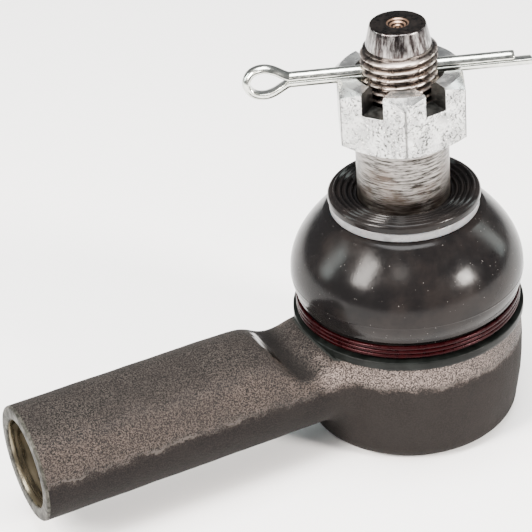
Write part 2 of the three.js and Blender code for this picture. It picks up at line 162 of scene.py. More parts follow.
def smooth_curve(knots, steps):
    """Catmull-Rom curve: a cubic between each pair of knots, tangent to its neighbours' chord."""
    knots = np.asarray(knots, float)
    padded = np.vstack([2 * knots[0] - knots[1], knots, 2 * knots[-1] - knots[-2]])
    share = np.linspace(0, len(knots) - 1, steps + 1)
    i = np.minimum(share.astype(int), len(knots) - 2)
    t = (share - i)[:, None]
    a, b, c, d = (padded[i + k] for k in range(4))
    square = (2 * a - 5 * b + 4 * c - d) * t**2
    cube = (3 * b - a - 3 * c + d) * t**3
    return 0.5 * (2 * b + (c - a) * t + square + cube)


def smoothstep(x, low, high):
    """0 below low, 1 above high, and 3t^2 - 2t^3 between."""
    t = np.clip((x - low) / (high - low), 0, 1)
    return t * t * (3 - 2 * t)


def soft_min(a, b, width):
    """The lower of two values, rounded over the width where they cross."""
    t = np.clip(0.5 + 0.5 * (b - a) / width, 0, 1)
    return b + (a - b) * t - width * t * (1 - t)


def turned_rows(profile, sides):
    """Each profile point (radius, height) goes round +Z: x = r cos a, y = r sin a."""
    profile = np.asarray(profile, float)
    angle = np.arange(sides) * TURN / sides
    x = profile[:, 0, None] * np.cos(angle)
    y = profile[:, 0, None] * np.sin(angle)
    z = np.broadcast_to(profile[:, 1, None], x.shape)
    return np.stack([x, y, z], axis=-1)


def waves(points, size, seed):
    """Slow bumps from -1 to 1: the mean of six sine waves in random directions, about size long."""
    rng = np.random.default_rng(seed)
    directions = rng.normal(size=(6, 3))
    directions /= np.linalg.norm(directions, axis=1)[:, None]
    lengths = size * rng.uniform(0.6, 1.6, 6)
    phases = rng.uniform(0, TURN, 6)
    return np.sin(points @ directions.T * TURN / lengths + phases).mean(axis=-1)


def thread_depth(turns):
    """0 on a thread's crest and 1 in its root, from the number of turns along it."""
    return np.clip((np.abs(2 * (turns % 1) - 1) - 0.12) / 0.7, 0, 1)


def quads(a, b):
    """The faces between two closed rows of point numbers of the same length."""
    return np.stack([a, np.roll(a, -1), np.roll(b, -1), b], axis=-1)


class Skin:
    """Points and faces of one closed surface, added row by row."""

    def __init__(self):
        self.points = np.zeros((0, 3))
        self.faces = []

    def add(self, points):
        """Adds points of any grid shape and returns their numbers in that shape."""
        flat = points.reshape(-1, 3)
        numbers = np.arange(len(flat)) + len(self.points)
        self.points = np.vstack([self.points, flat])
        return numbers.reshape(points.shape[:-1])

    def strip(self, a, b):
        """Joins two closed rows."""
        self.faces.append(quads(a, b))

    def rows(self, grid):
        """Joins each row of a grid to the next."""
        for a, b in zip(grid[:-1], grid[1:]):
            self.strip(a, b)

    def pole(self, row, point, outwards_first):
        """Closes a row to one point."""
        tip = self.add(np.array([point], float))[0]
        after = np.roll(row, -1)
        tips = np.full_like(row, tip)
        fan = [row, tips, after] if outwards_first else [row, after, tips]
        self.faces.append(np.stack(fan, axis=-1))

    def turned(self, profile, sides, closed=False):
        """A turned body. A closed profile joins its last point to its first, as a ring does."""
        profile = np.asarray(profile, float)
        grid = self.add(turned_rows(profile if closed else profile[1:-1], sides))
        self.rows(grid)
        if closed:
            self.strip(grid[-1], grid[0])
        else:
            self.pole(grid[0], (0, 0, profile[0, 1]), True)
            self.pole(grid[-1], (0, 0, profile[-1, 1]), False)

    def volume(self):
        """Six times the enclosed volume: the sum of a . (b x c) over the faces' triangles."""
        total = 0.0
        for group in self.faces:
            corners = self.points[group]
            for k in range(1, group.shape[1] - 1):
                crossed = np.cross(corners[:, k], corners[:, k + 1])
                total += np.einsum("ij,ij->", corners[:, 0], crossed)
        return total

    def mesh(self, name):
        """The Blender mesh in metres, its faces pointing outwards."""
        inward = self.volume() < 0
        groups = [g[:, ::-1] if inward else g for g in self.faces]
        mesh = bpy.data.meshes.new(name)
        used = np.unique(np.concatenate([g.ravel() for g in groups]))
        renumbered = np.zeros(len(self.points), int)
        renumbered[used] = np.arange(len(used))
        faces = [face for group in groups for face in renumbered[group].tolist()]
        mesh.from_pydata((self.points[used] * MM).tolist(), [], faces)
        mesh.update()
        return mesh


def turned_mesh(name, profile, sides, closed=False):
    """The mesh of one turned body."""
    skin = Skin()
    skin.turned(profile, sides, closed)
    return skin.mesh(name)


def place(name, mesh, body, nodes, finishes, crease=38):
    """Makes the piece from its mesh: shades it, sets its finishes and lets it ride on its body."""
    piece = bpy.data.objects.new(name, mesh)
    bpy.context.scene.collection.objects.link(piece)
    mesh.shade_smooth()
    mesh.set_sharp_from_angle(angle=math.radians(crease))
    for finish in finishes:
        mesh.materials.append(finish)
    if body:
        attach(piece, body)
    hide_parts(*nodes)
    return piece


def paint_faces(mesh, choose):
    """Gives each face the finish whose number choose returns for the faces' centres, in millimetres."""
    centres = np.zeros(len(mesh.polygons) * 3)
    mesh.polygons.foreach_get("center", centres)
    chosen = choose(centres.reshape(-1, 3) / MM)
    mesh.polygons.foreach_set("material_index", chosen.astype(np.int32))


def cut(mesh, tool, operation="DIFFERENCE"):
    """The mesh after a Boolean with the tool's mesh."""
    blank = bpy.data.objects.new("blank", mesh)
    cutter = bpy.data.objects.new("cutter", tool)
    for helper in (blank, cutter):
        bpy.context.scene.collection.objects.link(helper)
    step = blank.modifiers.new("cut", "BOOLEAN")
    step.operation = operation
    step.solver = "MANIFOLD"
    step.object = cutter
    depsgraph = bpy.context.evaluated_depsgraph_get()
    result = bpy.data.meshes.new_from_object(blank.evaluated_get(depsgraph))
    for helper in (blank, cutter):
        bpy.data.objects.remove(helper)
    result.name = mesh.name
    result.materials.clear()
    return result


# ---- Finishes -------------------------------------------------------------------


class Finish:
    """A material under construction: nodes are added and linked in one call each."""

    def __init__(self, name, **shader):
        self.material = bpy.data.materials.new(name)
        self.material.use_nodes = True
        self.tree = self.material.node_tree
        self.shader = self.tree.nodes["Principled BSDF"]
        self.set(**shader)
        self.at = self.add("TexCoord", out="Object")

    def add(self, kind, inputs=None, out=0, **settings):
        """Adds a node, sets or links its inputs by name or number, and returns one output."""
        node = self.tree.nodes.new("ShaderNode" + kind)
        for key, value in settings.items():
            setattr(node, key, value)
        for key, value in (inputs or {}).items():
            self.feed(node.inputs[key], value)
        return node.outputs[out]

    def feed(self, socket, value):
        """Links an output to the socket, or sets it to a number, a vector or an opaque colour."""
        if isinstance(value, bpy.types.NodeSocket):
            self.tree.links.new(value, socket)
        elif socket.type == "RGBA":
            socket.default_value = (*value, 1)
        else:
            socket.default_value = value

    def set(self, **values):
        """Sets the shader's own sockets: base_color means Base Color."""
        for key, value in values.items():
            words = key.replace("_", " ").title().replace("Ior", "IOR")
            self.feed(self.shader.inputs[words], value)
        return self

    def stretched(self, scale):
        """Object coordinates multiplied along each axis."""
        return self.add("Mapping", {"Vector": self.at, "Scale": scale})

    def noise(self, size, detail, rough, at=None):
        """Cloudy noise, about 0.5, whose features are about size millimetres."""
        inputs = {"Vector": at or self.at, "Scale": 1 / (size * MM), "Detail": detail, "Roughness": rough}
        return self.add("TexNoise", inputs, out="Fac")

    def cells(self, size, at=None):
        """Distance to the nearest of scattered points about size millimetres apart."""
        inputs = {"Vector": at or self.at, "Scale": 1 / (size * MM)}
        return self.add("TexVoronoi", inputs, out="Distance", feature="F1")

    def between(self, value, low, high, to_low=0.0, to_high=1.0):
        """Maps low..high onto to_low..to_high, held at the ends."""
        inputs = {"Value": value, 1: low, 2: high, 3: to_low, 4: to_high}
        return self.add("MapRange", inputs, interpolation_type="SMOOTHSTEP")

    def maths(self, operation, a, b=0.0):
        """One sum on numbers or outputs."""
        return self.add("Math", {0: a, 1: b}, operation=operation)

    def times(self, a, b):
        """a multiplied by b."""
        return self.maths("MULTIPLY", a, b)

    def plus(self, a, b):
        """a and b added."""
        return self.maths("ADD", a, b)

    def minus(self, a, b):
        """a less b."""
        return self.maths("SUBTRACT", a, b)

    def larger(self, a, b):
        """The larger of a and b."""
        return self.maths("MAXIMUM", a, b)

    def wander(self, size, detail, rough, width):
        """Cloudy shift of a border to either side, at most half of width millimetres, in metres."""
        return self.times(self.minus(self.noise(size, detail, rough), 0.5), width * MM)

    def blend(self, share, a, b):
        """Colour a where share is 0 and b where it is 1."""
        return self.add("Mix", {0: share, 6: a, 7: b}, out=2, data_type="RGBA")

    def axes(self):
        """The object coordinates' x, y and z, in metres."""
        node = self.add("SeparateXYZ", {0: self.at}).node
        return node.outputs[0], node.outputs[1], node.outputs[2]

    def radius(self):
        """Distance from the stud's axis, in metres."""
        x, y, _ = self.axes()
        return self.maths("SQRT", self.plus(self.times(x, x), self.times(y, y)))

    def bump(self, height, depth):
        """Raises the surface by depth millimetres where height is 1."""
        return self.add("Bump", {"Height": height, "Distance": depth * MM, "Strength": 1.0})

    def done(self, base, rough, height, depth):
        """The material, with its colour, its roughness and a bump."""
        return self.set(base_color=base, roughness=rough, normal=self.bump(height, depth)).material


def forged_scale():
    """Forging scale: a gritty tan band painted as lit where the sides face out, dark grey painted as
    shade on the upward faces above it, and smooth brown-grey below, darker in part as painted shade.
    """
    f = Finish("forged_scale", specular_ior_level=0.14)
    grit = f.noise(0.22, 2, 0.7)
    fine = f.noise(0.12, 2, 0.6)
    pebble = f.noise(0.4, 3, 0.7)
    patches = f.noise(6.0, 4, 0.6)
    x, _, z = f.axes()
    wander = f.minus(f.noise(2.6, 5, 0.75), 0.5)
    height = f.plus(z, f.times(wander, 4.2 * MM))
    over_line = f.between(height, 13.9 * MM, 16.3 * MM)
    normal = f.add("NewGeometry", out="Normal")
    up = f.plus(f.add("SeparateXYZ", {0: normal}, out=2), f.times(wander, 0.5))
    # Painted light: above the line, faces turned sideways take the tan colour as if lit, and upward faces
    # keep the darker top colour as painted shade.
    gritty_band_painted_lit = f.times(over_line, f.between(up, 0.55, 0.95, 1.0, 0.0))
    speck = f.between(f.plus(grit, f.times(f.minus(fine, 0.5), 0.4)), 0.43, 0.61)
    dull = f.blend(speck, (0.001, 0.0008, 0.0007), (0.009, 0.0068, 0.006))
    top = f.blend(speck, (0.0015, 0.0013, 0.0012), (0.031, 0.0266, 0.0235))
    tan = f.blend(speck, (0.0015, 0.0011, 0.0009), (0.052, 0.039, 0.0322))
    # Below the line the colour is darker, partly as painted shade.
    base = f.blend(over_line, dull, top)
    base = f.blend(gritty_band_painted_lit, base, tan)
    base = f.blend(f.between(patches, 0.4, 0.66, 0.0, 0.35), base, (0.0085, 0.007, 0.0064))
    # Painted highlight: on the socket, the lit band turns much lighter, most towards -x, on the key
    # light's side.
    socket = f.between(f.radius(), 20.0 * MM, 24.0 * MM, 1.0, 0.0)
    bright = f.blend(speck, (0.012, 0.0095, 0.0085), (0.2, 0.159, 0.142))
    painted_highlight = f.times(f.times(socket, gritty_band_painted_lit), f.between(x, -6 * MM, 14 * MM, 0.8, 0.12))
    base = f.blend(painted_highlight, base, bright)
    low = f.times(socket, f.minus(1.0, over_line))
    base = f.blend(f.times(low, 0.3), base, (0.016, 0.0133, 0.0122))
    nick = f.between(f.noise(1.9, 5, 0.8), 0.7, 0.75)
    base = f.blend(f.larger(flash_line(f, height), nick), base, (0.06, 0.051, 0.045))
    # Painted shade: near-black in the groove's bottom.
    base = f.blend(valley_painted_shade(f), base, (0.0025, 0.002, 0.0018))
    base = f.blend(collar_edge(f), base, (0.009, 0.0105, 0.0095))
    depth = f.between(gritty_band_painted_lit, 0, 1, 0.45, 1.0)
    heights = f.times(f.plus(pebble, f.times(grit, 0.3)), depth)
    rough = f.larger(f.between(grit, 0.35, 0.65, 0.62, 0.42), f.between(gritty_band_painted_lit, 0, 1, 0.88, 0.3))
    return f.done(base, rough, heights, 0.2)


def valley_painted_shade(f):
    """0.8 in the groove's bottom, as painted shade, and 0 away from it."""
    _, _, z = f.axes()
    radius = f.plus(f.radius(), f.wander(2.2, 4, 0.65, 2.0))
    outside = f.between(radius, 21.3 * MM, 23.4 * MM)
    inside = f.between(radius, 25.0 * MM, 27.2 * MM, 1.0, 0.0)
    high = f.between(z, 16.6 * MM, 17.8 * MM)
    return f.times(f.times(f.times(outside, inside), high), 0.8)


def flash_line(f, height):
    """A thin broken line along the band's lower border, where the two dies met."""
    off = f.maths("ABSOLUTE", f.minus(height, 15.0 * MM))
    broken = f.between(f.noise(4.0, 3, 0.6), 0.45, 0.62)
    return f.times(f.between(off, 0.1 * MM, 0.35 * MM, 0.6, 0.0), broken)


def collar_edge(f):
    """1 on the strip that the collar's tool has caught: its lower border wanders."""
    _, _, z = f.axes()
    height = f.plus(z, f.wander(1.6, 4, 0.65, 1.3))
    near = f.between(height, (COLLAR_LOW - 0.25) * MM, (COLLAR_LOW - 0.1) * MM)
    socket = f.between(f.radius(), (COLLAR_R + 0.1) * MM, (COLLAR_R + 0.5) * MM, 1.0, 0.0)
    return f.times(near, socket)


def turned_dark():
    """Machined and phosphated: smooth dark grey-green with fine tool rings."""
    f = Finish("turned_dark", specular_ior_level=0.08)
    rings = f.noise(1.0, 2, 0.6, at=f.stretched((0.25, 0.25, 9)))
    mottle = f.noise(2.5, 4, 0.6)
    base = f.blend(f.between(mottle, 0.35, 0.7), (0.0022, 0.0027, 0.0024), (0.0065, 0.0076, 0.007))
    rough = f.between(rings, 0.35, 0.65, 0.3, 0.46)
    return f.done(base, rough, rings, 0.012)


def faced_steel():
    """Machined end face: light grey with arcs from the facing tool, chalky with wear."""
    f = Finish("faced_steel", metallic=0.15, specular_ior_level=0.12)
    _, y, z = f.axes()
    off = f.minus(z, SHANK_Z * MM)
    radius = f.maths("SQRT", f.plus(f.times(y, y), f.times(off, off)))
    rings = f.maths("SINE", f.times(radius, TURN / (0.28 * MM)))
    mottle = f.noise(1.1, 5, 0.7)
    base = f.blend(f.between(mottle, 0.36, 0.74), (0.007, 0.0068, 0.0054), (0.055, 0.053, 0.044))
    rough = f.between(mottle, 0.3, 0.7, 0.7, 0.5)
    heights = f.plus(f.times(rings, 0.2), mottle)
    return f.done(base, rough, heights, 0.02)


def bored_steel():
    """Bore: olive-gold oiled steel at the mouth, turning dark in the thread as painted shade deep in the
    bore.
    """
    f = Finish("bored_steel", metallic=0.95)
    x, _, _ = f.axes()
    # Painted shade: past the counterbore the bore turns near-black.
    inside = f.between(x, (-SHANK_END + RELIEF_DEPTH - 0.9) * MM, (-SHANK_END + RELIEF_DEPTH + 0.3) * MM)
    streaks = f.noise(3.0, 3, 0.6, at=f.stretched((5, 0.4, 0.4)))
    bright = f.blend(f.between(streaks, 0.3, 0.7), (0.13, 0.112, 0.076), (0.23, 0.2, 0.14))
    base = f.blend(inside, bright, (0.022, 0.018, 0.013))
    rough = f.between(streaks, 0.3, 0.7, 0.2, 0.38)
    return f.done(base, rough, streaks, 0.015)


def pressed_steel():
    """Pressed and phosphated sheet, grey, with press marks and stains."""
    f = Finish("pressed_sheet", metallic=0.85)
    mottle = f.noise(3.0, 5, 0.65)
    grain = f.noise(0.2, 2, 0.6)
    base = f.blend(f.between(mottle, 0.35, 0.68), (0.16, 0.16, 0.155), (0.36, 0.36, 0.35))
    rough = f.between(mottle, 0.3, 0.7, 0.34, 0.52)
    return f.done(base, rough, grain, 0.02)


def spring_steel():
    """Oiled blue-grey spring steel with faint rolling lines."""
    f = Finish("oiled_spring", metallic=0.95)
    lines = f.noise(1.2, 3, 0.6, at=f.stretched((1, 8, 1)))
    base = f.blend(lines, (0.1, 0.11, 0.13), (0.3, 0.32, 0.36))
    rough = f.between(lines, 0.3, 0.7, 0.22, 0.36)
    return f.done(base, rough, lines, 0.01)


def bearing_resin():
    """Natural acetal: warm white, faintly cloudy, with a film of grease."""
    f = Finish("natural_acetal", subsurface_weight=0.12, subsurface_scale=0.001)
    cloud = f.noise(2.5, 3, 0.5)
    film = f.noise(4.0, 4, 0.6)
    base = f.blend(f.between(cloud, 0.3, 0.7), (0.74, 0.7, 0.6), (0.84, 0.81, 0.72))
    rough = f.between(film, 0.35, 0.65, 0.28, 0.5)
    return f.done(base, rough, cloud, 0.02)


def turned_silver():
    """Turned steel: silver with streaks that run round the stud."""
    f = Finish("turned_silver", metallic=1.0)
    streaks = f.noise(3.2, 4, 0.65, at=f.stretched((1, 1, 11)))
    hair = f.noise(1.0, 2, 0.6, at=f.stretched((1, 1, 26)))
    stain = f.noise(4.0, 3, 0.6)
    both = f.plus(streaks, f.times(hair, 0.45))
    base = f.blend(f.between(both, 0.61, 0.84), (0.016, 0.0145, 0.013), (0.27, 0.255, 0.24))
    _, _, z = f.axes()
    low = f.between(z, LIP_TOP * MM, (LIP_TOP + 6) * MM, 0.22, 0.0)
    base = f.blend(f.between(f.plus(stain, low), 0.5, 0.78, 0.0, 0.65), base, (0.1, 0.076, 0.062))
    rough = f.between(streaks, 0.3, 0.7, 0.3, 0.46)
    return f.done(base, rough, both, 0.025)


def rolled_thread():
    """Rolled thread: dark oiled roots, brassy worn crests."""
    f = Finish("rolled_thread", metallic=1.0)
    wear = f.between(f.radius(), (THREAD_ROOT_R + 0.2) * MM, THREAD_R * MM)
    mottle = f.noise(1.5, 4, 0.65)
    crest = f.blend(f.between(mottle, 0.35, 0.65), (0.3, 0.25, 0.22), (0.66, 0.56, 0.5))
    base = f.blend(wear, (0.075, 0.062, 0.055), crest)
    rough = f.between(mottle, 0.3, 0.7, 0.2, 0.4)
    return f.done(base, rough, mottle, 0.015)


def drawn_cone():
    """The stud's coned tip: dark brownish steel with bright streaks running up it."""
    f = Finish("drawn_cone", metallic=1.0)
    streaks = f.noise(1.5, 4, 0.7, at=f.stretched((1, 1, 0.16)))
    hair = f.noise(0.45, 3, 0.6, at=f.stretched((1, 1, 0.1)))
    both = f.plus(streaks, f.times(hair, 0.5))
    base = f.blend(f.between(both, 0.64, 1.0), (0.03, 0.024, 0.0235), (0.42, 0.4, 0.39))
    rough = f.between(streaks, 0.3, 0.7, 0.16, 0.34)
    return f.done(base, rough, both, 0.03)


def sheared_tip():
    """The stud's end face: dark brown scale with a coppery centre mark, ringed by the tool."""
    f = Finish("centred_tip", metallic=0.9)
    radius = f.radius()
    rings = f.maths("SINE", f.times(radius, TURN / (0.5 * MM)))
    mottle = f.noise(0.7, 4, 0.65)
    outer = f.blend(f.between(mottle, 0.35, 0.65), (0.008, 0.0065, 0.0055), (0.03, 0.024, 0.021))
    copper = f.blend(f.between(rings, -0.5, 0.8), (0.02, 0.011, 0.007), (0.4, 0.25, 0.17))
    base = f.blend(f.between(radius, 1.5 * MM, 1.9 * MM), copper, outer)
    rough = f.between(mottle, 0.3, 0.7, 0.25, 0.45)
    return f.done(base, rough, mottle, 0.02)


def polished_ball():
    """Ground and greased ball, mirror bright with a faint haze."""
    f = Finish("polished_ball", metallic=1.0)
    haze = f.noise(3.0, 4, 0.6)
    base = f.blend(f.between(haze, 0.3, 0.7), (0.6, 0.59, 0.57), (0.74, 0.73, 0.71))
    rough = f.between(haze, 0.35, 0.65, 0.07, 0.16)
    return f.set(base_color=base, roughness=rough).material


def boot_rubber():
    """Moulded rubber: near-black satin, brownish bloom, scattered dust and scuffs."""
    f = Finish("boot_rubber", specular_ior_level=0.1)
    bloom = f.noise(7.0, 4, 0.6)
    skin = f.noise(0.35, 3, 0.6)
    dots = f.between(f.cells(0.6), 0.065, 0.125, 1.0, 0.0)
    some = f.between(f.noise(1.8, 4, 0.8), 0.5, 0.62)
    fibre = f.between(f.cells(2.4, at=f.stretched((1, 1, 0.22))), 0.012, 0.03, 1.0, 0.0)
    dust = f.larger(f.times(dots, some), f.times(fibre, 0.8))
    base = f.blend(f.between(bloom, 0.38, 0.7), (0.0045, 0.0042, 0.0043), (0.0098, 0.0082, 0.0077))
    base = f.blend(f.times(dust, 0.8), base, (0.17, 0.158, 0.15))
    scuffs = f.noise(1.4, 5, 0.75, at=f.stretched((1, 1, 0.5)))
    soft = f.plus(f.between(bloom, 0.35, 0.7, 0.13, 0.2), f.between(scuffs, 0.35, 0.65, 0.0, 0.07))
    rough = f.plus(soft, f.times(dust, 0.3))
    heights = f.plus(f.times(skin, 0.5), dust)
    return f.done(base, rough, heights, 0.02)


def white_plastic():
    """Smooth white plastic, faintly blue, grimy in patches."""
    f = Finish("white_plastic", subsurface_weight=0.1, subsurface_scale=0.0008)
    grime = f.noise(2.4, 4, 0.65)
    base = f.blend(f.between(grime, 0.45, 0.75), (0.135, 0.137, 0.143), (0.07, 0.07, 0.074))
    rough = f.between(grime, 0.35, 0.65, 0.26, 0.42)
    return f.done(base, rough, grime, 0.02)


def red_lacquer():
    """Spring wire under dark red lacquer: glossy, thin on its crest."""
    f = Finish("red_lacquer", specular_ior_level=0.1, specular_tint=(1.0, 0.5, 0.55))
    mottle = f.noise(1.2, 4, 0.6)
    base = f.blend(f.between(mottle, 0.35, 0.7), (0.004, 0.0001, 0.0003), (0.0075, 0.0002, 0.0004))
    rough = f.between(mottle, 0.3, 0.7, 0.22, 0.4)
    return f.done(base, rough, mottle, 0.01)


def porous_zinc():
    """Bright zinc plate on a forged nut: cool white, hazed, with fine dark pores, and painted shade as
    dark lines along the corners.
    """
    f = Finish("porous_zinc", metallic=0.92)
    haze = f.noise(3.2, 4, 0.6)
    # Painted shade: a dark line down each corner of the hexagon.
    corner = f.between(f.radius(), (NUT_CORNER_R - 0.16) * MM, (NUT_CORNER_R - 0.04) * MM, 0.0, 0.75)
    pores = f.between(f.noise(0.38, 3, 0.75), 0.41, 0.47, 1.0, 0.0)
    dense = f.between(f.noise(2.6, 3, 0.6), 0.3, 0.52)
    _, _, z = f.axes()
    below_top = f.between(z, (NUT_HIGH[2] - 1.3) * MM, (NUT_HIGH[2] - 0.7) * MM, 1.0, 0.0)
    pitted = f.times(f.times(pores, dense), below_top)
    base = f.blend(f.between(haze, 0.35, 0.65), (0.36, 0.365, 0.36), (0.68, 0.69, 0.675))
    base = f.blend(f.larger(f.times(pitted, 0.95), corner), base, (0.012, 0.011, 0.01))
    rough = f.between(haze, 0.35, 0.65, 0.2, 0.32)
    return f.done(base, rough, pitted, -0.06)


def slotted_zinc():
    """The sawn slots and the bore: dark as painted shade inside them, with saw marks."""
    f = Finish("slotted_zinc", metallic=0.7)
    marks = f.noise(0.8, 3, 0.6, at=f.stretched((1, 1, 5)))
    # Painted shade: the slots and the bore are near-black.
    base = f.blend(f.between(marks, 0.35, 0.65), (0.012, 0.012, 0.011), (0.05, 0.05, 0.046))
    rough = f.between(marks, 0.3, 0.7, 0.35, 0.55)
    return f.done(base, rough, marks, 0.03)


def bright_zinc():
    """Bright zinc on drawn wire: faintly yellow-green, with fine marks along it."""
    f = Finish("bright_zinc", metallic=1.0)
    marks = f.noise(1.3, 4, 0.65)
    fine = f.noise(0.25, 2, 0.6)
    base = f.blend(f.between(marks, 0.35, 0.65), (0.5, 0.51, 0.465), (0.66, 0.675, 0.62))
    rough = f.between(marks, 0.3, 0.7, 0.14, 0.24)
    return f.done(base, rough, fine, 0.003)


# ---- Housing --------------------------------------------------------------------

SOCKET_SIDES = 192
FLANK_STEPS = 26
HOLE_HALF = 23                    # half the columns that the shank takes out of the flank
BAR_LENGTH = 26.0                 # the shank's evenly spaced part, from its end
PLAIN_END = 1.6                   # the shank's last stretch, round and true
GROOVE = [                        # (distance from the stud's axis, height) across the groove's floor
    (15.0, 19.5),
    (18.65, 19.3),
    (20.2, 18.9),
    (21.6, 18.3),
    (23.0, 18.0),
    (24.4, 18.25),
    (25.8, 19.3),
    (27.2, 20.9),
    (28.6, 22.2),
    (30.5, 23.2),
    (35.0, 24.6),
]


def flank_profile():
    """The socket's outer flank, from the base fillet's top to the collar's lower edge."""
    knots = [
        (BODY_LOW_R, BASE_FILLET),
        ((BODY_LOW_R + BODY_MID_R) / 2 + 0.2, 7.6),
        (BODY_MID_R, 12.5),
        (WAIST_R, COLLAR_LOW),
    ]
    return smooth_curve(knots, FLANK_STEPS)


def groove_height(radius):
    """Height of the groove's floor at a distance from the stud's axis."""
    curve = smooth_curve(GROOVE, 80)
    return np.interp(radius, curve[:, 0], curve[:, 1])


def socket_field(points):
    """Distance outside the socket's flank, from its radius at each height."""
    flank = flank_profile()
    x, y, z = np.moveaxis(points, -1, 0)
    return np.hypot(x, y) - np.interp(z, flank[:, 1], flank[:, 0])


def shank_field(points):
    """Distance outside the shank: a round bar, cut down by a groove round the collar.

    The groove's floor stands a little higher along the middle, and its brink is rounded.
    """
    crown_height = 0.8
    wall_slope = 0.8
    brink = 2.4
    x, y, z = np.moveaxis(points, -1, 0)
    bar = np.maximum(np.hypot(y, z - SHANK_Z) - SHANK_R, x)
    crown = crown_height * (1 - smoothstep(np.abs(y), 1.5, 7.5))
    groove = (z - groove_height(np.hypot(x, y)) - crown) * wall_slope
    return -soft_min(-bar, -groove, brink)


def forging_field(points):
    """Distance outside the whole forging: the nearer of socket and shank, filleted, with slow waves.

    The fillet is wide at the socket's middle and fades out towards the base and the collar.
    """
    heights = [3.2, 6.0, 13.0, 18.0]
    widths = [0.05, 2.2, 2.6, 0.5]
    fillet = np.interp(points[..., 2], heights, widths)
    joined = soft_min(socket_field(points), shank_field(points), fillet)
    return joined + 0.07 * waves(points, 9.0, 3) + 0.035 * waves(points, 3.4, 8)


def onto_forging(points):
    """Moves points onto the forging's surface: four Newton steps along the field's slope."""
    step = 0.02
    for _ in range(4):
        value = forging_field(points)
        rises = [forging_field(points + move) - forging_field(points - move) for move in step * np.eye(3)]
        slope = np.stack(rises, axis=-1) / (2 * step)
        steepness = np.maximum((slope**2).sum(axis=-1), 0.05)
        points = points - (value / steepness)[..., None] * slope
    return points


def housing_profile():
    """The socket's section as a ring, in three parts: the base, the flank, and the rest.

    The rest is the collar, the boss, the mouth, the cavity and the cover's seat.
    """
    flank = flank_profile()
    before = np.vstack([
        line((SWAGED_LIP_R + 0.2, 0), (BODY_LOW_R - BASE_FILLET, 0), 4),
        arc(BODY_LOW_R - BASE_FILLET, BASE_FILLET, BASE_FILLET, -90, 0, 10)[1:-1],
    ])
    mouth_angle = math.degrees(math.acos(MOUTH_R / CAVITY_R))
    after = np.vstack([
        [(COLLAR_R - 0.08, COLLAR_LOW + 0.12), (COLLAR_R, COLLAR_LOW + 0.3)],
        line((COLLAR_R, COLLAR_LOW + 0.6), (COLLAR_R, COLLAR_TOP - 0.18), 2),
        arc(COLLAR_R - 0.18, COLLAR_TOP - 0.18, 0.18, 30, 90, 2),
        line((COLLAR_R - 0.6, COLLAR_TOP), (BOSS_R + 0.2, COLLAR_TOP), 4),
        [(BOSS_R + 0.05, COLLAR_TOP + 0.05), (BOSS_R, COLLAR_TOP + 0.2)],
        line((BOSS_R, COLLAR_TOP + 1), (BOSS_R, BOSS_TOP - 0.5), 4),
        [(BOSS_R - 0.5, BOSS_TOP), (MOUTH_TOP_R + 0.3, BOSS_TOP), (MOUTH_TOP_R, BOSS_TOP - 0.3)],
        arc(0, BALL_Z, CAVITY_R, mouth_angle, 0, 14),
        [(CAVITY_R, COVER_TOP + 0.05), (COVER_R + 0.1, COVER_TOP + 0.05)],
        [(COVER_R + 0.1, SWAGED_LIP_H), (SWAGED_LIP_R, SWAGED_LIP_H), (SWAGED_LIP_R, 0.2)],
    ])
    return before, flank, after


def bore_profile():
    """The shank's end as (radius, distance in from its face): edge, face, counterbore, thread start."""
    return np.vstack([
        [(SHANK_R, PLAIN_END), (SHANK_R, 0.45), (SHANK_R - 0.05, 0.2)],
        [(SHANK_R - 0.2, 0.05), (SHANK_R - 0.4, 0)],
        line((SHANK_R - 1.0, 0), (RELIEF_R + 0.35, 0), 2),
        [(RELIEF_R + 0.1, 0.1), (RELIEF_R, 0.3)],
        line((RELIEF_R, 1), (RELIEF_R, RELIEF_DEPTH), 5),
        [(RELIEF_R - 0.12, RELIEF_DEPTH + 0.15)],
    ])


def about_shank(x, radius, angle):
    """Points round the shank's axis: y = r sin a, z = r cos a above the axis."""
    across = radius * np.sin(angle)
    up = SHANK_Z + radius * np.cos(angle)
    return np.stack(np.broadcast_arrays(x, across, up), axis=-1)


def under_groove(points):
    """Points above the groove's floor come down to it."""
    x, y, z = np.moveaxis(points, -1, 0)
    return np.stack([x, y, np.minimum(z, groove_height(np.hypot(x, y)))], axis=-1)


def bore_thread(angle):
    """Female thread: the radius swings between minor and major along a helix, deepening from its ends."""
    first = RELIEF_DEPTH + 0.4
    distance = np.linspace(first, BORE_DEPTH, 190)[:, None]
    turns = distance / BORE_PITCH + angle / TURN
    run_in = smoothstep(distance, first, first + 1.2)
    strength = run_in * (1 - smoothstep(distance, BORE_DEPTH - 3, BORE_DEPTH))
    lead = (RELIEF_R - 0.2 - BORE_R) * (1 - smoothstep(distance, first, first + 0.9))
    radius = BORE_R + np.maximum((BORE_MAJOR_R - BORE_R) * thread_depth(turns) * strength, lead)
    return about_shank(-SHANK_END + distance, radius, angle)


def shank_join(ring):
    """Rows from the hole's edge in the flank out along the shank to a plain round one.

    Each row's angles go from the edge's own to even ones, and each point then slides onto the forging.
    Returns the rows and the even angles.
    """
    count = len(ring)
    own = np.unwrap(np.arctan2(ring[:, 1], ring[:, 2] - SHANK_Z))
    even = own[0] + np.arange(count) * TURN / count * np.sign(own[-1] - own[0])
    foot = -np.sqrt(BODY_MID_R**2 - (SHANK_R * np.sin(own)) ** 2) - 1.2
    corner = under_groove(about_shank(foot, SHANK_R, own))
    share = np.linspace(0, 1, 9)[1:, None, None]
    near = ring + (corner - ring) * share
    out = np.linspace(0, 1, 42)[1:, None]
    even_out = smoothstep(out, 0, 1)
    angle = own * (1 - even_out) + even * even_out
    x = foot * (1 - out) + (-SHANK_END + BAR_LENGTH) * out
    along = under_groove(about_shank(x, SHANK_R, angle))
    return onto_forging(np.concatenate([near, along])), even


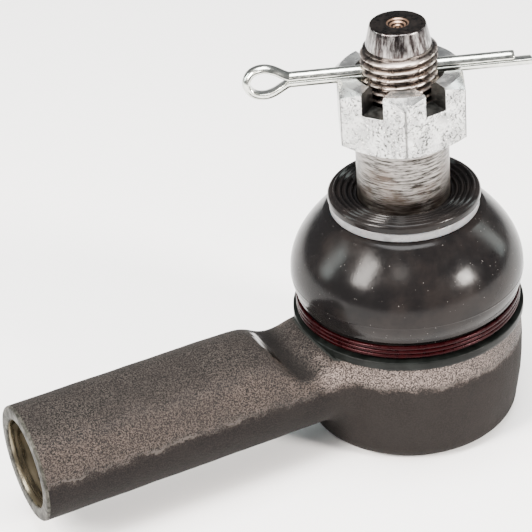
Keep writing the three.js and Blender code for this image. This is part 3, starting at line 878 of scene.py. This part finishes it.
def housing():
    """The forging as one skin: the socket's rings, a hole in its flank, and the shank out of the hole.

    The skin goes on round the shank's end, in through the counterbore and down the thread.
    """
    skin = Skin()
    before, flank, after = housing_profile()
    profile = np.vstack([before, flank, after])
    points = turned_rows(profile, SOCKET_SIDES)
    first, last = len(before), len(before) + len(flank) - 1
    forged = points[first:last]
    reach = smoothstep(np.arange(len(forged)), -1, 3)[:, None, None]
    points[first:last] = forged + (onto_forging(forged) - forged) * reach
    grid = skin.add(points)

    low, high = first + 1, last
    middle = SOCKET_SIDES // 2
    left, right = middle - HOLE_HALF, middle + HOLE_HALF
    for i, row in enumerate(grid):
        band = quads(row, grid[(i + 1) % len(grid)])
        if low <= i < high:
            band = np.delete(band, np.arange(left, right), axis=0)
        skin.faces.append(band)

    ring = np.concatenate([
        grid[high, middle:right],
        grid[high:low:-1, right],
        grid[low, right:left:-1],
        grid[low:high, left],
        grid[high, left:middle],
    ])
    rows, even = shank_join(skin.points[ring])
    joined = skin.add(rows)
    skin.strip(ring, joined[0])
    skin.rows(joined)

    bar_x = np.linspace(rows[-1, 0, 0], -SHANK_END + PLAIN_END, 30)[1:-1, None]
    bar = about_shank(bar_x, SHANK_R, even)
    fade = smoothstep(-bar_x, SHANK_END - 4.0, SHANK_END - 1.8)[..., None]
    bar = onto_forging(bar) * (1 - fade) + bar * fade
    radius, distance_in = bore_profile().T[:, :, None]
    end = about_shank(-SHANK_END + distance_in, radius, even)
    tube = skin.add(np.concatenate([bar, end, bore_thread(even)]))
    skin.strip(joined[-1], tube[0])
    skin.rows(tube)
    skin.pole(tube[-1], (-SHANK_END + BORE_DEPTH + 3.4, 0, SHANK_Z), True)

    mesh = skin.mesh("housing_forging")

    def choose(centres):
        """The finish's number in the list below, by place."""
        x, y, z = centres.T
        radius = np.hypot(x, y)
        across = np.hypot(y, z - SHANK_Z)
        end_face = (x < -SHANK_END + 0.5) & (across > RELIEF_R + 0.02)
        bore = (x < -SHANK_END + BORE_DEPTH + 4) & (across < SHANK_R - 1.4) & ~end_face
        turned = (z > COLLAR_LOW) & (radius < COLLAR_R + 0.01) | (radius < CAVITY_R + 2.2)
        return np.select([end_face, bore, turned], [2, 3, 1], 0)

    paint_faces(mesh, choose)
    finishes = [forged_scale(), turned_dark(), faced_steel(), bored_steel()]
    return place("housing_forging", mesh, "housing", ["housing"], finishes)


# ---- Under the base --------------------------------------------------------------


def end_cover():
    """Dished disc: flat middle, a slope up to the rim, every bend rounded."""
    flat_r = 8.0
    rim_r = COVER_R - 4.6
    under = 1.35
    thick = 1.7
    low_bend = [
        (flat_r - 0.3, 0.02),
        (flat_r + 0.3, 0.25),
        (rim_r - 0.4, under - 0.2),
        (rim_r + 0.3, under),
    ]
    high_bend = [
        (rim_r - 0.5, under + thick - 0.1),
        (flat_r - 0.2, thick + 0.25),
        (flat_r - 0.8, thick),
    ]
    outer = np.vstack([
        [(0, 0.0)],
        line((1, 0), (flat_r - 0.6, 0), 4),
        smooth_curve(low_bend, 8),
        line((rim_r + 1, under), (COVER_R - 0.15, under), 3),
        [(COVER_R, under + 0.15), (COVER_R, under + thick - 0.15), (COVER_R - 0.15, under + thick)],
    ])
    inner = np.vstack([
        line((rim_r + 0.6, under + thick), (rim_r, under + thick), 1),
        smooth_curve(high_bend, 6),
        [(1, thick), (0, thick)],
    ])
    mesh = turned_mesh("swaged_cover", np.vstack([outer, inner]), 128)
    return place("swaged_cover", mesh, "housing", ["end_cover"], [pressed_steel()])


# ---- Boot and its rings ------------------------------------------------------------

BOOT_SIDES = 160
BOOT_SPLIT = BULGE_Z + 3.6
MOULD_RIDGE = 0.04                # how far the mould line stands out
MOULD_DROP = 0.4                  # how far it lies below the widest ring


def bulge(z, wide, narrow, height):
    """The boot's radius draws in by the square of the share of height above or below its widest ring."""
    above = np.clip((z - BULGE_Z) / height, 0, 1)
    below = np.clip((BULGE_Z - z) / (BULGE_Z - BEAD_TOP - 0.5), 0, 1.2)
    return wide - (wide - narrow) * above**2 - 0.8 * below**2


def mould_line(z):
    """A hairline ridge just below the widest ring, where the mould's halves met: a bell curve."""
    return MOULD_RIDGE * np.exp(-(((z - BULGE_Z + MOULD_DROP) / 0.11) ** 2))


def bulge_rows(low, high, steps):
    """The boot's outside between two heights, with closer rows at the mould line."""
    ridge = BULGE_Z - MOULD_DROP + np.linspace(-0.3, 0.3, 9)
    z = np.unique(np.concatenate([np.linspace(low, high, steps), ridge]))
    z = z[(z >= low) & (z <= high)]
    radius = bulge(z, BULGE_R, CROWN_R, CROWN_Z - BULGE_Z) + mould_line(z) - MOULD_RIDGE
    return np.column_stack([radius, z])


def inner_rows(low, high, steps):
    """The boot's inside between two heights: the same bulge, one wall further in, more at the crown."""
    z = np.linspace(low, high, steps)
    narrow = CROWN_R - 2.4
    return np.column_stack([bulge(z, BULGE_R - BOOT_WALL, narrow, CROWN_Z - BULGE_Z - BOOT_WALL), z])


def boot_base():
    """Lower half: the bead that the wire grips, its overhanging edge, and the bulge up to the split."""
    edge_z = BEAD_TOP + 0.25
    outer = np.vstack([
        [(BOSS_R + 0.1, BOOT_LOW[2]), (BEAD_R - 0.2, BOOT_LOW[2]), (BEAD_R, BOOT_LOW[2] + 0.2)],
        line((BEAD_R, BOOT_LOW[2] + 0.8), (BEAD_R, BEAD_TOP - 0.2), 3),
        [(BEAD_R + 0.08, BEAD_TOP)],
        arc(BULGE_R - 1.02, edge_z + 0.2, 0.3, -90, -10, 5),
        bulge_rows(edge_z + 0.45, BOOT_SPLIT, 26),
    ])
    inner = inner_rows(BEAD_TOP + 0.9, BOOT_SPLIT, 14)[::-1]
    profile = np.vstack([outer, inner, [(BOSS_R + 0.1, BEAD_TOP)]])
    mesh = turned_mesh("boot_base", profile, BOOT_SIDES, closed=True)
    piece = place("boot_base", mesh, None, ["boot"], [boot_rubber()])
    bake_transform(piece)
    return piece


def lip_ribs(radius):
    """Height of the lip's top: it slopes down to the stud, with five rounded ribs."""
    share = (radius - BOOT_BORE_R) / (LIP_R - BOOT_BORE_R)
    rise = smoothstep(share, 0.04, 0.14)
    fall = 1 - smoothstep(share, 0.86, 0.95)
    ribs = 0.21 * np.cos(share * TURN * 5.2) * rise * fall
    return LIP_TOP - 0.16 - 0.9 * (1 - share) ** 1.1 + ribs


def boot_top():
    """Upper half: the bulge from the split up to the neck, and the ribbed lip round the stud."""
    neck_r = BOOT_BORE_R + 2.9
    lip_under = UPPER_RING_HIGH[2] + 0.05
    edge_r = 0.75
    ribbed = np.linspace(LIP_R - edge_r - 0.05, BOOT_BORE_R + 0.1, 60)
    outer = np.vstack([
        bulge_rows(BOOT_SPLIT, CROWN_Z - 0.5, 34),
        [(CROWN_R - 0.2, CROWN_Z - 0.12), (CROWN_R - 0.6, CROWN_Z), (neck_r + 0.15, CROWN_Z)],
        [(neck_r, CROWN_Z + 0.15), (neck_r, lip_under - 0.15), (neck_r + 0.15, lip_under)],
        [(LIP_R - 0.25, lip_under), (LIP_R - 0.05, lip_under + 0.08)],
        line((LIP_R, lip_under + 0.3), (LIP_R, LIP_TOP - 0.3 - edge_r), 2)[:-1],
        arc(LIP_R - edge_r, LIP_TOP - 0.3 - edge_r, edge_r, 0, 75, 7),
        np.column_stack([ribbed, lip_ribs(ribbed)]),
        [(BOOT_BORE_R, LIP_TOP - 1.3)],
    ])
    inner = inner_rows(BOOT_SPLIT, CROWN_Z - BOOT_WALL, 14)[::-1]
    profile = np.vstack([outer, [(BOOT_BORE_R, CROWN_Z - 1.25)], inner])
    mesh = turned_mesh("boot_top", profile, BOOT_SIDES, closed=True)
    piece = place("boot_top", mesh, None, ["boot"], [boot_rubber()])
    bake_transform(piece)
    return piece


def upper_ring():
    """White clamp ring: a rectangular section with rounded corners."""
    inner, outer = BOOT_BORE_R + 3.0, UPPER_RING_HIGH[0]
    low, high = UPPER_RING_LOW[2], UPPER_RING_HIGH[2]
    round_r = 0.28
    profile = np.vstack([
        arc(outer - round_r, low + round_r, round_r, -90, 0, 4),
        arc(outer - round_r, high - round_r, round_r, 0, 90, 4),
        arc(inner + 0.1, high - 0.1, 0.1, 90, 180, 2),
        arc(inner + 0.1, low + 0.1, 0.1, 180, 270, 2),
    ])
    mesh = turned_mesh("neck_clamp", profile, BOOT_SIDES, closed=True)
    return place("neck_clamp", mesh, "boot_collar", ["boot_upper_ring"], [white_plastic()])


def swept_rows(path, out, side, section):
    """Carries a section (outwards, sideways) along a path whose directions are given at each point."""
    outwards = section[None, :, 0, None] * out[:, None]
    sideways = section[None, :, 1, None] * side[:, None]
    return path[:, None] + outwards + sideways


def wire_ring():
    """A round wire in a close helix of three turns about the bead, its ends ground off."""
    wire_r, pitch, turns = 0.36, 0.73, 3.0
    steps, sides = 420, 14
    start = math.radians(61)
    share = np.linspace(0, 1, steps)
    angle = TURN * turns * share + start
    zero = 0 * angle
    out = np.column_stack([np.cos(angle), np.sin(angle), zero])
    radius = BEAD_R + 0.1 + wire_r
    height = BOOT_LOW[2] + wire_r + 0.1 + pitch * turns * share
    path = out * radius + np.column_stack([zero, zero, height])
    section = arc(0, 0, 1, 0, 360, sides)[:-1]
    ends = np.minimum(1, np.sqrt(np.minimum(share, 1 - share) * len(share) / 3) + 0.35)
    upwards = np.tile([0.0, 0.0, 1.0], (len(path), 1))
    unit = swept_rows(path, out, upwards, section) - path[:, None]
    rows = path[:, None] + unit * (wire_r * ends[:, None, None])
    skin = Skin()
    grid = skin.add(rows)
    skin.rows(grid)
    skin.pole(grid[0], path[0], True)
    skin.pole(grid[-1], path[-1], False)
    mesh = skin.mesh("bead_wire")
    finishes = [red_lacquer()]
    return place("bead_wire", mesh, "housing", ["boot_lower_ring"], finishes, 60)


# ---- Ball stud ---------------------------------------------------------------------

STUD_SIDES = 112
CONE_R = 5.0                      # the tip's cone where it leaves the thread
DRILL_SIDES = 32


def pin_place(points):
    """Rolls points made along +X about the pin's line, then turns them to where the pin points."""
    c, s = math.cos(PIN_ROLL), math.sin(PIN_ROLL)
    roll = np.array([[1, 0, 0], [0, c, -s], [0, s, c]])
    c, s = math.cos(PIN_ANGLE), math.sin(PIN_ANGLE)
    turn = np.array([[c, -s, 0], [s, c, 0], [0, 0, 1]])
    return points @ roll.T @ turn.T + (0, 0, PIN_Z)


def stud_thread():
    """Male thread: the radius swings between crest and root along a helix, run out at the shoulder."""
    low = NUT_LOW[2]
    z = np.linspace(low, TIP_BASE, 178)[:, None]
    angle = np.arange(STUD_SIDES) * TURN / STUD_SIDES
    turns = z / THREAD_PITCH - angle / TURN
    runout = smoothstep(z, low + 0.3, low + 2)
    radius = THREAD_R - (THREAD_R - THREAD_ROOT_R) * thread_depth(turns) * runout
    chamfer = CONE_R + 1.4 * (TIP_BASE - z)
    radius = np.minimum(radius, chamfer)
    return np.stack([radius * np.cos(angle), radius * np.sin(angle), z + 0 * angle], axis=-1)


def ball_stud():
    """Ball, neck, plain body, thread and coned tip as one turned skin, then cross-drilled for the pin."""
    flat_angle = -math.degrees(math.acos(BALL_FLAT_R / BALL_R))
    neck_angle = math.degrees(math.acos(NECK_R / BALL_R))
    shoulder = NUT_LOW[2] - 0.05
    body_low = CROWN_Z - 1.3
    neck_top = 31.0
    lower = np.vstack([
        arc(0, BALL_Z, BALL_R, flat_angle, neck_angle, 40),
        line((NECK_R, BALL_Z + 10.2), (NECK_R, neck_top), 4),
        smooth_curve([(NECK_R + 0.1, neck_top + 0.5), (6.3, 33.8), (7.1, 36.2), (STUD_R, body_low)], 10),
        line((STUD_R, body_low + 0.6), (STUD_R, shoulder - 0.85), 10),
        [(STUD_R - 0.08, shoulder - 0.66), (STUD_R - 0.2, shoulder - 0.5)],
        [(THREAD_R + 0.55, shoulder - 0.06), (THREAD_R + 0.4, shoulder), (THREAD_R + 0.1, shoulder)],
    ])
    tip = np.vstack([
        [(CONE_R, TIP_BASE + 0.15)],
        line((4.96, TIP_BASE + 0.5), (4.36, TIP_TOP - 0.3), 4),
        arc(4.1, TIP_TOP - 0.22, 0.22, 10, 90, 3),
        line((3.6, TIP_TOP), (1.9, TIP_TOP), 3),
        [(1.7, TIP_TOP - 0.04), (1.45, TIP_TOP - 0.2), (0.7, TIP_TOP - 0.7), (0.25, TIP_TOP - 0.88)],
    ])
    skin = Skin()
    rows = np.concatenate([turned_rows(lower, STUD_SIDES), stud_thread(), turned_rows(tip, STUD_SIDES)])
    grid = skin.add(rows)
    skin.rows(grid)
    skin.pole(grid[0], (0, 0, BALL_Z - math.sqrt(BALL_R**2 - BALL_FLAT_R**2)), True)
    skin.pole(grid[-1], (0, 0, TIP_TOP - 0.9), False)

    drill = Skin()
    angle = np.arange(DRILL_SIDES) * TURN / DRILL_SIDES
    hole_r = PIN_R + 0.3
    ring = np.column_stack([0 * angle, hole_r * np.cos(angle), hole_r * np.sin(angle)])
    ends = np.array([[-12.0, 0, 0], [12.0, 0, 0]])
    tube = drill.add(pin_place(ring[None] + ends[:, None]))
    drill.rows(tube)
    drill.pole(tube[0], pin_place(ends[:1])[0], True)
    drill.pole(tube[1], pin_place(ends[1:])[0], False)
    mesh = cut(skin.mesh("ball_stud_body"), drill.mesh("drill"))

    def choose(centres):
        """The finish's number in the list below, by place."""
        x, y, z = centres.T
        radius = np.hypot(x, y)
        ball = z < BALL_Z + 9.3
        thread = (z > shoulder) & (z < TIP_BASE)
        face = (z > TIP_TOP - 0.02) | (z > TIP_TOP - 1.0) & (radius < 2.0)
        cone = z > TIP_BASE
        return np.select([ball, thread, face, cone], [1, 2, 3, 4], 0)

    paint_faces(mesh, choose)
    finishes = [turned_silver(), polished_ball(), rolled_thread(), sheared_tip(), drawn_cone()]
    return place("ball_stud_body", mesh, "stud", ["ball_stud"], finishes, 42)


# ---- Castle nut ----------------------------------------------------------------------


def castle_skin(low, floor_z, high):
    """A hexagonal prism whose top is split into six prongs by three slots across its flats."""
    flat = NUT_AF / 2
    half = SLOT_WIDTH / 2
    skin = Skin()
    turn = np.arange(6) * math.pi / 3 + NUT_ANGLE
    ahead = np.column_stack([np.cos(turn), np.sin(turn)])
    aside = np.column_stack([-np.sin(turn), np.cos(turn)])
    before = flat * ahead - half * aside
    after = flat * ahead + half * aside
    between = turn + math.pi / 6
    towards = np.column_stack([np.cos(between), np.sin(between)])
    corner = NUT_CORNER_R * towards
    inner = half / math.sin(math.pi / 6) * towards
    rim = np.stack([before, after, corner], axis=1).reshape(-1, 2)
    levels = [np.column_stack([rim, np.full(len(rim), z)]) for z in (low, floor_z)]
    bottom, top = skin.add(np.array(levels))
    skin.strip(bottom, top)
    skin.faces.append(bottom[None, ::-1])
    hub = skin.add(np.column_stack([inner, np.full(len(inner), floor_z)]))
    lower = np.column_stack([top[1::3], top[2::3], np.roll(top[0::3], -1), hub])
    star = np.column_stack([top[0::3], top[1::3], hub]).ravel()
    skin.faces.append(star[None])
    for prong in lower:
        upper = skin.add(np.column_stack([skin.points[prong][:, :2], np.full(len(prong), high)]))
        skin.strip(prong, upper)
        skin.faces.append(upper[None])
    return skin


def castle_nut():
    """A turned blank with chamfered ends, cut to a slotted hexagon."""
    low, high = NUT_LOW[2], NUT_HIGH[2]
    under_r = NUT_AF / 2 * 0.93
    face_r = NUT_AF / 2 * 0.99
    corner_r = NUT_CORNER_R + 0.3
    drop = corner_r - face_r
    rise = (corner_r - under_r) * math.tan(math.radians(25))
    profile = np.vstack([
        line((NUT_BORE_R, low + 0.75), (STUD_R + 0.15, low), 1),
        [(under_r, low), (corner_r, low + rise), (corner_r, high - drop), (face_r, high)],
        [(NUT_BORE_R + 0.95, high), (NUT_BORE_R, high - 0.95)],
    ])
    blank = turned_mesh("nut_body", profile, 144, closed=True)
    castle = castle_skin(low - 5, high - SLOT_DEPTH, high + 5)
    mesh = cut(blank, castle.mesh("castle"), "INTERSECT")

    def choose(centres):
        """0 for the plated outside and 1 for the slots and the bore."""
        x, y, z = centres.T
        facing = NUT_ANGLE + np.arange(3)[:, None] * math.pi / 3
        from_axis = np.abs(x * np.cos(facing) + y * np.sin(facing)).max(axis=0)
        radius = np.hypot(x, y)
        flats = from_axis > NUT_AF / 2 - 0.01
        top_chamfer = (z > high - drop) & (radius > face_r - 0.05)
        low_chamfer = (z < low + rise) & (radius > under_r - 0.1)
        ends = (np.abs(z - high) < 0.01) | (z < low + 0.8)
        return np.where(flats | top_chamfer | low_chamfer | ends, 0, 1)

    paint_faces(mesh, choose)
    finishes = [porous_zinc(), slotted_zinc()]
    piece = place("nut_body", mesh, "stud", ["castle_nut"], finishes, 20)
    edges = piece.modifiers.new("softened_edges", "BEVEL")
    edges.width = 0.13 * MM
    edges.segments = 2
    edges.limit_method = "ANGLE"
    edges.angle_limit = math.radians(25)
    edges.harden_normals = True
    return piece


# ---- Split pin ------------------------------------------------------------------------


def split_pin():
    """Half-round wire: in along the upper leg, round the eye, out along the lower, flats together.

    The path lies in one plane, the section stands outwards from it: half a circle with eased corners.
    """
    half = 0.06
    eye_start, eye_half = 17.2, 1.6
    eye_end = eye_start + 5.6
    upper_end, lower_end = 17.4, 20.2
    opening = [
        (-eye_start + 1.5, half),
        (-eye_start, half + 0.1),
        (-eye_start - 2.2, eye_half * 0.82),
        (-eye_start - 3.7, eye_half),
        (-eye_end + 0.6, eye_half * 0.72),
    ]
    upper = [(upper_end, half), (upper_end / 2, half), (0, half), (-eye_start / 2, half), *opening]
    lower = [(along, -height) for along, height in opening[::-1]]
    lower += [(-eye_start / 2, -half), (0, -half), (lower_end / 2, -half), (lower_end, -half)]
    curve = smooth_curve([*upper, (-eye_end, 0), *lower], 300)
    ahead = np.gradient(curve, axis=0)
    ahead /= np.linalg.norm(ahead, axis=1)[:, None]
    zero = np.zeros(len(curve))
    path = np.column_stack([curve[:, 0], zero, curve[:, 1]])
    out = np.column_stack([ahead[:, 1], zero, -ahead[:, 0]])
    side = np.tile([0.0, 1.0, 0.0], (len(curve), 1))
    crown = arc(0, 0, 1, -78, 78, 14)
    eased = np.array([(0.06, 0.93), (0.0, 0.84), (0.0, 0.4), (0.0, -0.4), (0.0, -0.84), (0.06, -0.93)])
    section = np.vstack([np.column_stack([crown[:, 0] * 0.98, crown[:, 1]]), eased]) * PIN_R
    middle = section.mean(axis=0)
    rows = swept_rows(path, out, side, section)
    centre = path + middle[0] * out + middle[1] * side
    small = centre[:, None] + (rows - centre[:, None]) * 0.9
    step = 0.12 * np.stack([ahead[:, 0], zero, ahead[:, 1]], axis=-1)
    first = small[0] - step[0]
    last = small[-1] + step[-1]
    skin = Skin()
    grid = skin.add(pin_place(np.concatenate([first[None], rows, last[None]])))
    skin.rows(grid)
    skin.pole(grid[0], pin_place((centre[0] - step[0])[None])[0], True)
    skin.pole(grid[-1], pin_place((centre[-1] + step[-1])[None])[0], False)
    mesh = skin.mesh("half_round_pin")
    return place("half_round_pin", mesh, "split_pin", ["split_pin"], [bright_zinc()], 40)


# ---- Pieces kept from the CAD ------------------------------------------------------------


def finish_kept_nodes():
    """The seats and the spring are hidden in the socket: their shapes stay, their finishes don't."""
    resin = bearing_resin()
    kept = {"lower_seat": resin, "upper_seat": resin, "preload_spring": spring_steel()}
    for node, finish in kept.items():
        mesh = frame["nodes"][node].data
        mesh.materials.clear()
        mesh.materials.append(finish)


# ---- Camera, light and floor ---------------------------------------------------------------


def camera():
    """A long lens from the front left and above, rolled a little."""
    azimuth, elevation, roll = (math.radians(a) for a in (24.05, 32.67, -4.61))
    aim = np.array([-23.0, 3.77, 32.25])
    distance = 329.4
    ahead = np.array([
        math.sin(azimuth) * math.cos(elevation),
        math.cos(azimuth) * math.cos(elevation),
        -math.sin(elevation),
    ])
    level_right = np.array([math.cos(azimuth), -math.sin(azimuth), 0])
    level_up = np.cross(level_right, ahead)
    right = level_right * math.cos(roll) + level_up * math.sin(roll)
    up = level_up * math.cos(roll) - level_right * math.sin(roll)
    place_at = (aim - distance * ahead) * MM
    data = bpy.data.cameras.new("long_lens")
    data.lens = 142.1
    data.sensor_width = 36
    data.clip_start, data.clip_end = 0.01, 10
    seen = bpy.data.objects.new("long_lens", data)
    turn = Matrix([right, up, -ahead]).transposed().to_4x4()
    seen.matrix_world = Matrix.Translation(Vector(place_at)) @ turn
    bpy.context.scene.collection.objects.link(seen)
    bpy.context.scene.camera = seen


LIT_POINT = Vector((0, 0, 30))    # inside the boot


def softbox(name, direction, distance, size, power, colour=(1, 1, 1)):
    """A rectangular soft light that faces the boot.

    Its direction is (degrees round from -Y towards +X, degrees up), or (0, 0) for straight overhead.
    """
    round_from_front, up = (math.radians(a) for a in direction)
    level = math.cos(up)
    away = Vector((math.sin(round_from_front) * level, -math.cos(round_from_front) * level, math.sin(up)))
    if direction == (0, 0):
        away = Vector((0, 0, 1))
    data = bpy.data.lights.new(name, "AREA")
    data.shape = "RECTANGLE"
    data.size, data.size_y = size[0] * MM, size[1] * MM
    data.energy = power
    data.color = colour
    lamp = bpy.data.objects.new(name, data)
    lamp.location = (LIT_POINT + away * distance) * MM
    lamp.rotation_euler = away.to_track_quat("Z", "Y").to_euler()
    bpy.context.scene.collection.objects.link(lamp)


def floor():
    """A wide pale sheet under the object, faintly mottled."""
    half = 2500.0
    z = -0.02
    corners = np.array([(-half, -half, z), (half, -half, z), (half, half, z), (-half, half, z)])
    mesh = bpy.data.meshes.new("pale_floor")
    mesh.from_pydata((corners * MM).tolist(), [], [(0, 1, 2, 3)])
    sheet = bpy.data.objects.new("pale_floor", mesh)
    bpy.context.scene.collection.objects.link(sheet)
    f = Finish("pale_floor")
    cloud = f.noise(120, 2, 0.5)
    base = f.blend(cloud, (0.86, 0.86, 0.86), (0.9, 0.9, 0.9))
    mesh.materials.append(f.set(base_color=base, roughness=0.7).material)


def studio():
    """A dim cool world, one large light overhead, and small warm and cool ones round the object."""
    world = bpy.data.worlds.new("studio")
    world.use_nodes = True
    world.node_tree.nodes["Background"].inputs["Color"].default_value = (0.93, 0.95, 1, 1)
    world.node_tree.nodes["Background"].inputs["Strength"].default_value = 0.3
    bpy.context.scene.world = world
    warm, cool = (1.0, 0.93, 0.87), (0.9, 1.0, 0.97)
    softbox("overhead", (0, 0), 1200, (700, 700), 34)
    softbox("key_left", (-79, 37), 520, (140, 240), 10.0, warm)
    softbox("small_right", (33, 23), 520, (105, 105), 8.0, warm)
    softbox("strip_right", (86, 20), 520, (110, 300), 1.1, cool)
    softbox("strip_left", (-117, 24), 520, (110, 260), 1.7, cool)
    softbox("front_high", (-37, 46), 520, (110, 110), 0.6, warm)


camera()
studio()
floor()
housing()
end_cover()
boot_base()
boot_top()
upper_ring()
wire_ring()
ball_stud()
castle_nut()
split_pin()
finish_kept_nodes()
